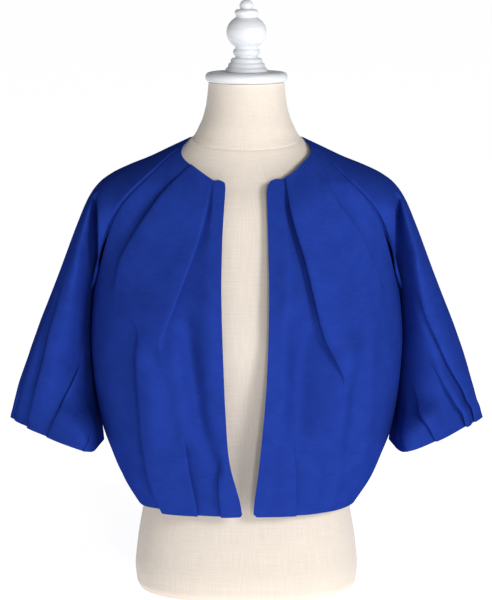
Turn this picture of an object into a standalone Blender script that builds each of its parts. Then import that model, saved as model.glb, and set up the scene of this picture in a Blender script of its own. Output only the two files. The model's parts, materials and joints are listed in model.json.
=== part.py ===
"""A cropped open-front jacket with raglan sleeves and pleats, worn by a limbless dress form.

Front faces -Y, the wearer's left is +X, up is +Z, and the form's flat underside lies on Z = 0.
All tables are in millimetres, with levels measured from the hip line, which is 5 mm above the underside;
MM turns them into metres when the meshes are made.
"""
import math

import bmesh
import bpy
import numpy as np

MM = 0.001
UNDERSIDE = -5.0

# Cloth wall, space between sewn pieces, and the level of the hem
WALL = 1.0
SEAM_GAP = 0.35
HEM_Z = 107.0

# Pleats: how far the folded layer reaches under the top one, and the spacing of its rows once it is open
UNDERLAP = 2.4
OPEN_STEP = 4.0

# Fineness: samples along a row, spaces between the points from pleat to pleat, and sides of the round pieces
SAMPLES = 240
FRONT_COUNTS = (2, 2, 5, 5)
BACK_COUNTS = (4, 3, 5, 3, 4)
SLEEVE_COUNTS = (2, 2, 2, 2, 3, 2, 2, 2)
FORM_SIDES = 36
TURNED_STEPS = 28


def table(names, rows):
    """A short table as one array for each named column."""
    return {name: np.array(column, float) for name, column in zip(names.split(), zip(*rows))}


# Outside of the cloth around the body, level by level
BODY = table("z half_width front back square", [
    (107, 132, 112, 98, 2.3),
    (134, 150, 119, 104, 2.3),
    (166, 164, 125, 108, 2.3),
    (190, 173, 128, 111, 2.3),
    (213, 178, 131, 112, 2.3),
    (262, 185, 136, 113, 2.3),
    (312, 187, 136, 112, 2.3),
    (345, 185, 132, 111, 2.3),
    (373, 182, 126, 110, 2.3),
    (405, 180, 117, 108, 2.3),
    (437, 180, 106, 106, 2.3),
    (465, 179, 96, 102, 2.3),
    (487, 176, 87, 96, 2.3),
    (497, 168, 82, 92, 2.3),
    (507, 149, 77, 87, 2.2),
    (521, 116, 70, 79, 2.2),
    (537, 82, 61, 69, 2.2),
    (544, 69, 58, 65, 2.2),
    (552, 62, 55, 60, 2.2),
])

# Outside of the padded form, level by level
FORM = table("z half_width front back square", [
    (-5, 118, 82, 82, 2.3),
    (-2.5, 126, 90, 89, 2.3),
    (3, 131, 95, 94, 2.3),
    (16, 134, 98, 97, 2.3),
    (55, 132, 96, 94, 2.3),
    (98, 125, 90, 86, 2.3),
    (135, 119, 85, 77, 2.3),
    (180, 121, 89, 77, 2.3),
    (240, 135, 103, 85, 2.3),
    (310, 148, 117, 92, 2.3),
    (370, 153, 109, 96, 2.3),
    (430, 159, 95, 97, 2.3),
    (465, 162, 84, 91, 2.1),
    (482, 163, 76, 84, 1.9),
    (493, 159, 69, 78, 1.8),
    (504, 143, 64, 73, 1.8),
    (519, 112, 57, 66, 1.8),
    (535, 79, 52, 60, 1.9),
    (543, 66, 51, 57, 2.0),
    (558, 56, 50, 51, 2.1),
    (576, 49.5, 48, 45, 2.0),
    (598, 46, 46.5, 40, 2.0),
    (609.4, 45, 46, 39, 2.0),
])

# Raglan sleeve from the neckline (row 0) past the underarm (row 9) to the cuff (row 16): where its front
# edge, crown and back edge run, how far its curve follows the straight line from an edge to the crown,
# how far it leads forward or back from the edge, and how far it stays level at the crown.
# Below the underarm both edges are the underarm seam, at the depth edge_y.
UNDERARM = 9
CUFF = 16
SLEEVE = table("row front_x front_z crown_x crown_z back_x back_z edge_y along lead level", [
    (0, 75.0, 536.5, 68, 543.0, 58.0, 541.5, 0, 0.33, 3, 12),
    (1, 92.0, 525.0, 92, 531.7, 79.0, 529.0, 0, 0.33, 7, 20),
    (2, 111.0, 508.0, 116, 520.7, 101.0, 512.5, 0, 0.33, 11, 27),
    (3, 130.0, 491.0, 140, 510.8, 122.0, 495.0, 0, 0.33, 14, 32),
    (4, 146.0, 473.0, 161, 500.5, 139.5, 476.0, 0, 0.33, 16, 35),
    (5, 157.5, 453.0, 177, 488.0, 153.0, 455.0, 0, 0.30, 17, 37),
    (6, 166.0, 430.0, 190, 469.0, 163.0, 431.0, 0, 0.26, 19, 41),
    (7, 172.5, 404.0, 202, 441.5, 170.5, 404.0, 0, 0.20, 26, 49),
    (8, 178.5, 378.0, 215, 407.0, 177.5, 378.0, 0, 0.10, 44, 62),
    (9, 184.0, 358.0, 228, 373.0, 184.0, 358.0, 0, 0.00, 70, 74),
    (10, 185.8, 334.0, 239, 345.0, 185.8, 334.0, 19, 0.00, 80, 76),
    (11, 185.8, 307.0, 250, 317.0, 185.8, 307.0, 26, 0.00, 84, 77),
    (12, 184.0, 279.0, 260, 290.0, 184.0, 279.0, 31, 0.00, 93, 76),
    (13, 181.5, 251.0, 268, 265.0, 181.5, 251.0, 34, 0.00, 101, 75),
    (14, 179.0, 223.0, 275, 243.0, 179.0, 223.0, 36, 0.00, 109, 74),
    (15, 176.5, 196.0, 281, 224.0, 176.5, 196.0, 38, 0.00, 116, 72),
    (16, 174.0, 170.0, 286, 207.0, 174.0, 170.0, 38, 0.00, 120, 70),
])

# How far the front of the sleeve's tube leans out and drops, for each millimetre of its lead; the crown's depth
FRONT_OUT = 0.07
FRONT_DROP = 0.15
CROWN_Y = 4.0

# Drape that falls in at the front and back of each armhole, row by row: share of the half row, and depth
DRAPE = table("row share depth", [
    (4, 0.95, 0.0),
    (5, 0.88, 3.0),
    (6, 0.76, 7.0),
    (7, 0.60, 9.0),
    (8, 0.50, 8.0),
    (9, 0.42, 5.0),
    (10, 0.36, 2.0),
    (11, 0.30, 0.0),
])
DRAPE_WIDTH = 13.0

# Side seam rows below the underarm, by level
SIDE = table("row z", [
    (9, 358), (10, 332), (11, 304), (12, 274), (13, 244),
    (14, 215), (15, 187), (16, 160), (17, 133), (18, 107),
])

# Lines down the wearer's left front, from the open edge to the side: across at each level
LEFT_EDGE = table("z across", [
    (107, 8), (123, 9), (154, 13), (203, 18), (263, 23), (310, 25), (378, 26), (434, 25), (498, 23),
])
LEFT_HEM_PLEAT = table("z across", [(107, 58), (178, 56), (250, 54), (350, 48), (434, 40), (502, 33)])
LEFT_NECK_PLEAT = table("z across", [
    (107, 87), (150, 91), (190, 96), (240, 103), (290, 104),
    (321, 93), (364, 81), (403, 72), (454, 57), (504, 46),
])
LEFT_SLEEVE_PLEAT = table("z across", [
    (107, 112), (150, 129), (200, 143), (280, 157), (340, 161), (382, 157), (421, 140), (448, 126), (472, 108),
    (509, 82), (521, 67),
])

# Lines down the wearer's right front, measured the same way on its own side
RIGHT_EDGE = table("z across", [
    (107, 5), (123, 7), (140, 11), (167, 18), (228, 24), (275, 26), (333, 28), (384, 29), (434, 28), (499, 24),
])
RIGHT_HEM_PLEAT = table("z across", [
    (107, 29), (148, 31), (174, 31), (250, 34), (350, 37), (434, 36), (501, 32),
])
RIGHT_NECK_PLEAT = table("z across", [
    (107, 58), (126, 61), (169, 69), (215, 72), (250, 82), (285, 94),
    (311, 97), (344, 89), (387, 73), (428, 58), (469, 47), (502, 41),
])
RIGHT_SLEEVE_PLEAT = table("z across", [
    (107, 94), (130, 104), (169, 113), (248, 121), (300, 127), (335, 140), (369, 149), (395, 144), (422, 133),
    (457, 114), (493, 87), (517, 64),
])

# Lines down one half of the back, from the centre to the side
BACK_INNER = table("z across", [(107, 36), (200, 38), (400, 30), (544, 12)])
BACK_OUTER = table("z across", [(107, 82), (200, 96), (300, 100), (400, 84), (480, 58), (543, 34)])

# Pleats of each line, in line order: the level where it is fully folded and where it has opened out, at the
# neckline and at the hem, with the heights of the fold there, and which layer lies on top
# (1: the layer nearer the panel's first edge, -1: the layer nearer its last edge)
PLEATS = "neck_full neck_open neck_height hem_full hem_open hem_height top"
LEFT_PLEATS = table(PLEATS, [
    (530, 520, 0.0, 140, 215, 4.2, 1),
    (350, 270, 4.4, 108, 185, 4.2, -1),
    (460, 370, 4.2, 90, 100, 0.0, 1),
])
RIGHT_PLEATS = table(PLEATS, [
    (530, 520, 0.0, 135, 200, 4.2, 1),
    (385, 300, 4.4, 165, 245, 4.4, -1),
    (450, 360, 4.4, 125, 200, 4.4, 1),
])
BACK_PLEATS = table(PLEATS, [
    (560, 550, 0.0, 130, 210, 4.2, 1),
    (560, 550, 0.0, 140, 225, 4.2, 1),
    (560, 550, 0.0, 112, 245, 4.2, -1),
    (560, 550, 0.0, 112, 235, 4.2, -1),
])

# Largest soft folds of each body panel: upper and lower end, half width, and lift (less than 0: hollow)
FOLDS = "x_top z_top x_low z_low half_width lift"
LEFT_FOLDS = table(FOLDS, [
    (66, 350, 82, 215, 15, -7),
    (106, 310, 116, 200, 15, 6),
    (97, 215, 91, 135, 11, -4),
    (142, 260, 118, 125, 14, 4),
])
RIGHT_FOLDS = table(FOLDS, [
    (84, 345, 70, 200, 13, -8),
    (104, 330, 94, 190, 15, 5),
    (133, 350, 123, 130, 9, -7),
    (40, 250, 54, 140, 12, -3),
])
BACK_FOLDS = table(FOLDS, [
    (20, 330, 24, 150, 16, -5),
    (-66, 360, -58, 160, 18, -6),
    (92, 340, 84, 150, 18, -5),
    (-118, 330, -104, 150, 16, 4),
])

# Cuff pleats of each sleeve: share along the front or back half of the row at the neck, underarm and cuff,
# the row where it starts and where it is fully folded, height, and which layer lies on top
CUFFS = "side share_neck share_underarm share_cuff row_open row_full height top"
LEFT_CUFF = table(CUFFS, [
    (1, 0.20, 0.34, 0.44, 10.5, 16.5, 4.2, -1),
    (1, 0.40, 0.50, 0.62, 10.0, 16.5, 4.4, -1),
    (1, 0.60, 0.67, 0.79, 9.5, 15.5, 4.4, -1),
    (1, 0.80, 0.83, 0.90, 9.0, 15.0, 4.2, 1),
    (-1, 0.75, 0.75, 0.75, 10.0, 16.5, 4.4, -1),
    (-1, 0.48, 0.48, 0.48, 10.0, 16.5, 4.4, -1),
    (-1, 0.22, 0.24, 0.26, 10.5, 16.5, 4.2, -1),
])
RIGHT_CUFF = table(CUFFS, [
    (1, 0.20, 0.32, 0.42, 10.5, 16.5, 4.2, 1),
    (1, 0.40, 0.46, 0.66, 10.0, 16.5, 4.2, 1),
    (1, 0.60, 0.70, 0.78, 8.5, 14.0, 4.6, 1),
    (1, 0.80, 0.85, 0.89, 9.0, 15.0, 4.2, 1),
    (-1, 0.75, 0.75, 0.75, 10.0, 16.5, 4.4, 1),
    (-1, 0.48, 0.48, 0.48, 10.0, 16.5, 4.4, 1),
    (-1, 0.22, 0.24, 0.26, 10.5, 16.5, 4.2, 1),
])

# Turned wooden fittings: radius and level, from the top down
CAP_PROFILE = table("radius z", [
    (0, 621.8), (40, 621.8), (45, 621.0), (47.8, 618.8), (48.6, 615.8),
    (47.8, 612.6), (45, 610.4), (40, 609.7), (0, 609.7),
])
FINIAL_PROFILE = table("radius z", [
    (0, 707.0), (4.6, 705.6), (7.6, 702.6), (8.4, 699.2), (7.0, 695.6), (13.0, 694.4), (13.8, 691.4),
    (12.8, 688.6), (17.6, 684.6), (22.0, 677.8), (23.8, 668.6), (22.0, 659.4), (17.6, 652.6), (13.2, 648.9),
    (15.4, 647.6), (15.6, 642.6), (13.4, 640.8), (13.2, 638.8), (18.0, 637.4), (18.6, 633.4), (21.2, 630.8),
    (21.8, 627.0), (24.4, 624.6), (24.8, 622.1), (0, 622.1),
])
NECK_AXIS_Y = -3.5

# Colours of the finished surfaces
BLUE = (0.016, 0.038, 0.30, 1.0)
LINEN = (0.80, 0.74, 0.66, 1.0)
WHITE = (0.86, 0.87, 0.88, 1.0)


def smooth(knots, values, at):
    """A smooth curve through the values at the knots, each with the slope of its neighbours."""
    at = np.clip(np.asarray(at, float), knots[0], knots[-1])
    slope = np.gradient(values, knots)
    low = np.clip(np.searchsorted(knots, at) - 1, 0, len(knots) - 2)
    span = knots[low + 1] - knots[low]
    share = (at - knots[low]) / span
    rest = 1 - share
    ends = values[low] * rest * rest * (1 + 2 * share) + values[low + 1] * share * share * (1 + 2 * rest)
    return ends + span * share * rest * (slope[low] * rest - slope[low + 1] * share)


def ease(low, high, at):
    """A soft step from 0 at low to 1 at high."""
    share = np.clip((at - low) / (high - low), 0, 1)
    return share * share * (3 - 2 * share)


def around(rings, angle, z):
    """The point of a ring at level z; angle 0 is the centre front and a quarter turn the wearer's left side."""
    half = smooth(rings["z"], rings["half_width"], z)
    front = smooth(rings["z"], rings["front"], z)
    back = smooth(rings["z"], rings["back"], z)
    power = 2 / smooth(rings["z"], rings["square"], z)
    sine, cosine = np.sin(angle), np.cos(angle)
    x = half * np.sign(sine) * np.abs(sine) ** power
    y = np.where(cosine > 0, -front, back) * np.abs(cosine) ** power
    return np.stack([x, y, np.broadcast_to(z, x.shape)], -1)


def angle_at(x, z):
    """The angle on the body's front where it is x wide at level z."""
    half = smooth(BODY["z"], BODY["half_width"], z)
    square = smooth(BODY["z"], BODY["square"], z)
    return np.arcsin(np.clip(x / half, 0, 1) ** (square / 2))


def outward(rings, angle, z):
    """The unit normal of the ring surface, away from the body."""
    small = 0.004
    across = around(rings, angle + small, z) - around(rings, angle - small, z)
    up = around(rings, angle, z + 0.5) - around(rings, angle, z - 0.5)
    normal = np.cross(across, up)
    return normal / np.linalg.norm(normal, axis=-1, keepdims=True)


def lengths(points):
    """The length along a row of points, from its first."""
    steps = np.linalg.norm(np.diff(points, axis=0), axis=1)
    return np.concatenate([[0], np.cumsum(steps)])


def pleat_places(place, folded, height, top):
    """Place along the row and lift of the four rows of points that make one pleat, in row order."""
    closed = np.array([(-1.5, 0.92), (0.0, 1.0), (-1.3, 0.30), (-1.1, 0.0)])
    along = folded * closed[:, 0] * UNDERLAP + (1 - folded) * np.array([-1.5, -0.5, 0.5, 1.5]) * OPEN_STEP
    lift = ease(0, 0.6, folded) * closed[:, 1] * height
    if top > 0:
        return place + along, lift
    return place - along[::-1], lift[::-1]


def spread(places, counts):
    """Fills each space between pleats with evenly spaced rows of points; pleats keep their own."""
    along, lift = [], []
    for number, (place, rise) in enumerate(places):
        along.extend(place)
        lift.extend(rise)
        if number < len(counts):
            start, end = place[-1], places[number + 1][0][0]
            between = start + (end - start) * np.arange(1, counts[number]) / counts[number]
            along.extend(between)
            lift.extend(np.zeros(len(between)))
    return np.array(along), np.array(lift)


def fold_lift(folds, x, z):
    """How far the soft folds lift or sink the cloth at a place seen from the front."""
    total = np.zeros(x.shape)
    for number in range(len(folds["lift"])):
        fold = row_of(folds, number)
        run_x, run_z = fold["x_low"] - fold["x_top"], fold["z_low"] - fold["z_top"]
        length = math.hypot(run_x, run_z)
        along = ((x - fold["x_top"]) * run_x + (z - fold["z_top"]) * run_z) / length ** 2
        aside = ((x - fold["x_top"]) * run_z - (z - fold["z_top"]) * run_x) / length
        ends = ease(-0.15, 0.3, along) * (1 - ease(0.7, 1.15, along))
        total += fold["lift"] * ends * np.exp(-((aside / fold["half_width"]) ** 2))
    return total


def front_row(row, lines, seam_x, seam_z):
    """Angles and levels where the lines and the last seam of a panel cross one row, on the wearer's left."""
    raglan = SLEEVE["row"][:UNDERARM + 1]
    if row < UNDERARM:
        level = smooth(raglan, seam_z[:UNDERARM + 1], row)
        angle = angle_at(smooth(raglan, seam_x[:UNDERARM + 1], row), level)
    else:
        level = smooth(SIDE["row"], SIDE["z"], row)
        angle = math.pi / 2
    down = (seam_z[0] - level) / (seam_z[0] - HEM_Z)
    levels = [line["z"][-1] + (HEM_Z - line["z"][-1]) * down for line in lines]
    angles = [angle_at(smooth(line["z"], line["across"], z), z) for line, z in zip(lines, levels)]
    return np.array(angles + [angle]), np.array(levels + [level])


def back_row(row, lines, seam_x, seam_z):
    """The same for the whole back, from the wearer's left seam to the right one."""
    angles, levels = front_row(row, lines, seam_x, seam_z)
    return np.concatenate([math.pi - angles[::-1], math.pi + angles]), np.concatenate([levels[::-1], levels])


def folded_at(pleat, level):
    """How far a pleat is folded at a level, from 0 to 1, and the height of its fold there."""
    at_neck = 1 - ease(0, 1, (pleat["neck_full"] - level) / (pleat["neck_full"] - pleat["neck_open"]))
    at_hem = ease(0, 1, (pleat["hem_open"] - level) / (pleat["hem_open"] - pleat["hem_full"]))
    if at_neck * pleat["neck_height"] > at_hem * pleat["hem_height"]:
        return at_neck, pleat["neck_height"]
    return at_hem if pleat["hem_height"] else 0.0, pleat["hem_height"]


def row_of(columns, number):
    """One row of a table, by column name."""
    return {name: column[number] for name, column in columns.items()}


def panel_points(crossings, pleats, folds, counts, pulls):
    """Rows of points of a body panel, from its first edge to its last."""
    points = []
    for (angles, levels), (pull_first, pull_last) in zip(crossings, pulls):
        knots = np.arange(len(angles), dtype=float)
        fine = np.linspace(0, knots[-1], SAMPLES)
        angle_line, level_line = smooth(knots, angles, fine), smooth(knots, levels, fine)
        length = lengths(around(BODY, angle_line, level_line))
        places = [(np.array([pull_first]), np.zeros(1))]
        for number in range(1, len(knots) - 1):
            pleat = row_of(pleats, number - 1)
            folded, height = folded_at(pleat, levels[number])
            place = np.interp(knots[number], fine, length)
            places.append(pleat_places(place, folded, height, pleat["top"]))
        places.append((np.array([length[-1] - pull_last]), np.zeros(1)))
        along, lift = spread(places, counts)
        angle, z = np.interp(along, length, angle_line), np.interp(along, length, level_line)
        base = around(BODY, angle, z)
        lift = lift + fold_lift(folds, base[:, 0], z)
        points.append(base + outward(BODY, angle, z) * lift[:, None])
    return np.array(points)


def sleeve_halves(row):
    """The front and back half of one sleeve row, each finely spaced from its edge to the crown."""
    now = {name: float(smooth(SLEEVE["row"], column, row)) for name, column in SLEEVE.items()}
    crown = np.array([now["crown_x"], CROWN_Y, now["crown_z"]])
    halves = []
    for side, x, z in ((-1, now["front_x"], now["front_z"]), (1, now["back_x"], now["back_z"])):
        if row >= UNDERARM:
            edge = np.array([x, now["edge_y"], z])
        else:
            angle = angle_at(np.array([x]), np.array([z]))
            angle = angle if side < 0 else math.pi - angle
            edge = around(BODY, angle, np.array([z]))[0]
        lead = now["lead"] * (1 if side < 0 else 1 - now["edge_y"] / 55)
        tube = ease(UNDERARM, CUFF, row) * lead if side < 0 else 0.0
        leaning = np.array([FRONT_OUT * tube, side * lead, -FRONT_DROP * tube])
        first = edge + now["along"] * (crown - edge) + leaning
        second = crown + np.array([0, side * now["level"], 0])
        share = np.linspace(0, 1, SAMPLES)[:, None]
        rest = 1 - share
        near_edge = edge * rest ** 3 + 3 * first * share * rest ** 2
        near_crown = 3 * second * share ** 2 * rest + crown * share ** 3
        halves.append(near_edge + near_crown)
    return halves


def sleeve_line(row):
    """One whole sleeve row from front edge to back edge, the lengths along it and the length of its front half."""
    front, back = sleeve_halves(row)
    line = np.concatenate([front, back[-2::-1]])
    length = lengths(line)
    front_length = length[SAMPLES - 1]
    return line, length, front_length


def sleeve_points(rows, cuffs, counts):
    """Rows of points of a sleeve on the wearer's left, from its front edge over the crown to its back edge."""
    points = []
    for row in rows:
        line, length, front_length = sleeve_line(row)
        back_length = length[-1] - front_length
        above = sleeve_line(max(row - 0.05, 0))
        below = sleeve_line(min(row + 0.05, SLEEVE["row"][-1]))
        places = [(np.zeros(1), np.zeros(1))]
        for number in range(len(cuffs["side"])):
            fold = row_of(cuffs, number)
            shares = (fold["share_neck"], fold["share_underarm"], fold["share_cuff"])
            share = np.interp(row, (0, UNDERARM, CUFF), shares)
            on_front = share * front_length
            place = on_front if fold["side"] > 0 else front_length + (1 - share) * back_length
            folded = ease(fold["row_open"], fold["row_full"], row)
            room = min(1.0, length[-1] / 200)
            along, lift = pleat_places(0.0, folded, fold["height"], fold["top"])
            places.append((place + along * room, lift))
        places.append((length[-1:], np.zeros(1)))
        along, lift = spread(places, counts)
        base = np.stack([np.interp(along, length, line[:, axis]) for axis in range(3)], -1)
        step = 0.4
        ahead = np.stack([np.interp(along + step, length, line[:, axis]) for axis in range(3)], -1)
        behind = np.stack([np.interp(along - step, length, line[:, axis]) for axis in range(3)], -1)
        down = np.stack(
            [
                np.interp(along / length[-1], below[1] / below[1][-1], below[0][:, axis])
                - np.interp(along / length[-1], above[1] / above[1][-1], above[0][:, axis])
                for axis in range(3)
            ],
            -1,
        )
        normal = np.cross(down, ahead - behind)
        normal /= np.linalg.norm(normal, axis=1, keepdims=True)
        depth = smooth(DRAPE["row"], DRAPE["depth"], row) if row > DRAPE["row"][0] else 0.0
        if depth > 0:
            share = float(smooth(DRAPE["row"], DRAPE["share"], row))
            for centre in (share * front_length, length[-1] - share * back_length):
                lift = lift - depth * np.exp(-(((along - centre) / DRAPE_WIDTH) ** 2))
        points.append(base + normal * lift[:, None])
    return np.array(points)


def material(name, colour, roughness):
    """A plain surface for one kind of part."""
    made = bpy.data.materials.new(name)
    made.use_nodes = True
    shader = made.node_tree.nodes["Principled BSDF"]
    shader.inputs["Base Color"].default_value = colour
    shader.inputs["Roughness"].default_value = roughness
    return made


def add_object(name, mesh, surface, collection):
    """Links a finished mesh into the collection with its material."""
    part = bpy.data.objects.new(name, mesh)
    mesh.materials.append(surface)
    collection.objects.link(part)
    return part


def cloth(name, points, mirrored, surface, collection):
    """One cut piece: a grid laid on its rows of points, closed where its edges meet, with a thin wall."""
    rows, across = points.shape[:2]
    made = bmesh.new()
    bmesh.ops.create_grid(made, x_segments=across - 1, y_segments=rows - 1, size=1)
    ordered = sorted(made.verts, key=lambda vertex: (-round(vertex.co.y, 6), round(vertex.co.x, 6)))
    flip = -1 if mirrored else 1
    for vertex, place in zip(ordered, points.reshape(-1, 3)):
        vertex.co = (flip * place[0] * MM, place[1] * MM, (place[2] - UNDERSIDE) * MM)
    if mirrored:
        bmesh.ops.reverse_faces(made, faces=made.faces)
    bmesh.ops.remove_doubles(made, verts=made.verts, dist=0.02 * MM)
    mesh = bpy.data.meshes.new(name)
    made.to_mesh(mesh)
    made.free()
    part = add_object(name, mesh, surface, collection)
    wall = part.modifiers.new("Wall", "SOLIDIFY")
    wall.thickness = WALL * MM
    wall.offset = -1
    return part


def padded_form(name, surface, collection):
    """The form: a tube of rings welded along its centre back and closed at its neck and underside."""
    levels = FORM["z"]
    made = bmesh.new()
    bmesh.ops.create_grid(made, x_segments=FORM_SIDES, y_segments=len(levels) - 1, size=1)
    ordered = sorted(made.verts, key=lambda vertex: (round(vertex.co.y, 6), round(vertex.co.x, 6)))
    angle = np.linspace(-math.pi, math.pi, FORM_SIDES + 1)
    places = np.concatenate([around(FORM, angle, np.full(len(angle), z)) for z in levels])
    for vertex, place in zip(ordered, places):
        vertex.co = (place[0] * MM, place[1] * MM, (place[2] - UNDERSIDE) * MM)
    bmesh.ops.remove_doubles(made, verts=made.verts, dist=0.02 * MM)
    bmesh.ops.holes_fill(made, edges=made.edges, sides=0)
    bmesh.ops.recalc_face_normals(made, faces=made.faces)
    mesh = bpy.data.meshes.new(name)
    made.to_mesh(mesh)
    made.free()
    return add_object(name, mesh, surface, collection)


def turned(name, profile, surface, collection):
    """A turned fitting: its half profile, from the top down, spun about the neck's axis."""
    points = [(radius * MM, 0, (z - UNDERSIDE) * MM) for radius, z in zip(profile["radius"], profile["z"])]
    mesh = bpy.data.meshes.new(name)
    mesh.from_pydata(points, [(number, number + 1) for number in range(len(points) - 1)], [])
    part = add_object(name, mesh, surface, collection)
    part.location = (0, NECK_AXIS_Y * MM, 0)
    spin = part.modifiers.new("Spin", "SCREW")
    spin.angle = 2 * math.pi
    spin.steps = TURNED_STEPS
    spin.render_steps = TURNED_STEPS
    spin.use_merge_vertices = True
    spin.merge_threshold = 0.0001
    spin.use_smooth_shade = False
    return part


for old in list(bpy.data.objects):
    bpy.data.objects.remove(old, do_unlink=True)

jacket = bpy.data.collections.new("cropped_jacket_on_dress_form")
bpy.context.scene.collection.children.link(jacket)

faille = material("blue_faille", BLUE, 0.55)
linen = material("linen_cover", LINEN, 0.85)
painted = material("white_painted_wood", WHITE, 0.4)

body_rows = np.arange(0, int(SIDE["row"][-1]) + 1)
front_seam = (SLEEVE["front_x"], SLEEVE["front_z"])
back_seam = (SLEEVE["back_x"], SLEEVE["back_z"])
front_pulls = [(0.0, SEAM_GAP)] * len(body_rows)
back_pulls = [(SEAM_GAP, SEAM_GAP) if row <= UNDERARM else (0.0, 0.0) for row in body_rows]

left_lines = [LEFT_EDGE, LEFT_HEM_PLEAT, LEFT_NECK_PLEAT, LEFT_SLEEVE_PLEAT]
left_crossings = [front_row(row, left_lines, *front_seam) for row in body_rows]
left_front = panel_points(left_crossings, LEFT_PLEATS, LEFT_FOLDS, FRONT_COUNTS, front_pulls)
cloth("front_left", left_front, False, faille, jacket)

right_lines = [RIGHT_EDGE, RIGHT_HEM_PLEAT, RIGHT_NECK_PLEAT, RIGHT_SLEEVE_PLEAT]
right_crossings = [front_row(row, right_lines, *front_seam) for row in body_rows]
right_front = panel_points(right_crossings, RIGHT_PLEATS, RIGHT_FOLDS, FRONT_COUNTS, front_pulls)
cloth("front_right", right_front, True, faille, jacket)

back_crossings = [back_row(row, [BACK_INNER, BACK_OUTER], *back_seam) for row in body_rows]
back = panel_points(back_crossings, BACK_PLEATS, BACK_FOLDS, BACK_COUNTS, back_pulls)
cloth("back", back, False, faille, jacket)

sleeve_rows = np.arange(0, CUFF + 1)
cloth("sleeve_left", sleeve_points(sleeve_rows, LEFT_CUFF, SLEEVE_COUNTS), False, faille, jacket)
cloth("sleeve_right", sleeve_points(sleeve_rows, RIGHT_CUFF, SLEEVE_COUNTS), True, faille, jacket)

padded_form("form_torso", linen, jacket)
turned("neck_cap", CAP_PROFILE, painted, jacket)
turned("finial", FINIAL_PROFILE, painted, jacket)
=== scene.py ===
import json
import math

import bpy
import numpy as np
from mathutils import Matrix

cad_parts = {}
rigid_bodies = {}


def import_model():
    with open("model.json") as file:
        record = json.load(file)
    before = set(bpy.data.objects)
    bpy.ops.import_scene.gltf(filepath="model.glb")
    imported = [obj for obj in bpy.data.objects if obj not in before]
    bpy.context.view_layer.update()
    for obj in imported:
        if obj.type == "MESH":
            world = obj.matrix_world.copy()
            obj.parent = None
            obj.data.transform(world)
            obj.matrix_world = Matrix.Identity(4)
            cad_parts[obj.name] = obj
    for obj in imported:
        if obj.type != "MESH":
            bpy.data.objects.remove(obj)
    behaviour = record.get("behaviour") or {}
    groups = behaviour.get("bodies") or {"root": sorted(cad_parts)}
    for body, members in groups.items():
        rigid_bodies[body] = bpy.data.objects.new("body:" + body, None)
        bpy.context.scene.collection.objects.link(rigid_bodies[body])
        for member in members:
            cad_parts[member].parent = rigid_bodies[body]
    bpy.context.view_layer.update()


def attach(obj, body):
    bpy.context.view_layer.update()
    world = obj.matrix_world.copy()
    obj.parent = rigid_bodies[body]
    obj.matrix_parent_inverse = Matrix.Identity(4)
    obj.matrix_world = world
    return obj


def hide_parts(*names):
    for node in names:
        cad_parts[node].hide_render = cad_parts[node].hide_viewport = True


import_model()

# The padded form: a foam half torso without limbs, pulled into a cover of natural linen. The cover is cut at
# the base of the neck and joined there by one seam. It stands on its flat underside.

# Sizes of the pieces are in millimetres, and MM turns them into metres, with the underside at level 0 there.
# Points closer together than WELD are made one.
MM = 0.001
UNDERSIDE = -5.0
WELD = 0.02


def table(names, rows):
    """A short table as one array for each named column."""
    return {name: np.array(column, float) for name, column in zip(names.split(), zip(*rows))}


# Outside of the cover, level by level: half its width, its depth before and behind the middle, and how
# square its outline is (2: an ellipse)
FORM = table("z half_width front back square", [
    (-5, 118, 82, 82, 2.3),
    (-2.5, 126, 90, 89, 2.3),
    (3, 131, 95, 94, 2.3),
    (16, 134, 98, 97, 2.3),
    (55, 132, 96, 94, 2.3),
    (98, 125, 90, 86, 2.3),
    (135, 119, 85, 77, 2.3),
    (180, 121, 89, 77, 2.3),
    (240, 135, 103, 85, 2.3),
    (310, 148, 117, 92, 2.3),
    (370, 153, 109, 96, 2.3),
    (430, 159, 95, 97, 2.3),
    (465, 162, 84, 91, 2.1),
    (482, 163, 76, 84, 1.9),
    (493, 159, 69, 78, 1.8),
    (504, 143, 64, 73, 1.8),
    (519, 112, 57, 66, 1.8),
    (535, 79, 52, 60, 1.9),
    (543, 66, 51, 57, 2.0),
    (558, 56, 50, 51, 2.1),
    (576, 49.5, 48, 45, 2.0),
    (598, 46, 46.5, 40, 2.0),
    (609.4, 45, 46, 39, 2.0),
])

# Levels of the cover's rows: first, last and number, closest at the rounded underside and the neck seam
FORM_ROWS = ((UNDERSIDE, 20, 22), (24, 520, 100), (522, 570, 70), (572, 609.4, 18))
FORM_SIDES = 160
FORM_MEAN_RADIUS = 110.0
FORM_CREASE = math.radians(50)
NECK_SEAM_FRONT = 533.0
NECK_SEAM_BACK = 556.0
NECK_SEAM_DROOP = 1.2
NECK_SEAM_DEPTH = 1.2
NECK_SEAM_WIDTH = 1.0
LINEN_PALE = "#E4DACE"
LINEN_DARK = "#D7CBBD"
LINEN_THREAD_MM = 1.1
# How many threads' width a slub runs along its own thread
LINEN_SLUB_RUN = 30.0

# How many times the slope of its flatter side a steady curve may have at a knot
STEADY_SLOPE = 2.5


def linear(colour):
    """An sRGB hex colour as linear red, green, blue and alpha."""
    shares = [int(colour[place:place + 2], 16) / 255 for place in (1, 3, 5)]
    light = [share / 12.92 if share <= 0.04045 else ((share + 0.055) / 1.055) ** 2.4 for share in shares]
    return light + [1.0]


def put_node(tree, kind, settings, inputs):
    """Adds a node with its settings; an input given as a socket is linked and any other is set."""
    made = tree.nodes.new(kind)
    for name, value in settings.items():
        setattr(made, name, value)
    for name, value in inputs.items():
        if isinstance(value, bpy.types.NodeSocket):
            tree.links.new(value, made.inputs[name])
        else:
            made.inputs[name].default_value = value
    return made


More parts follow.
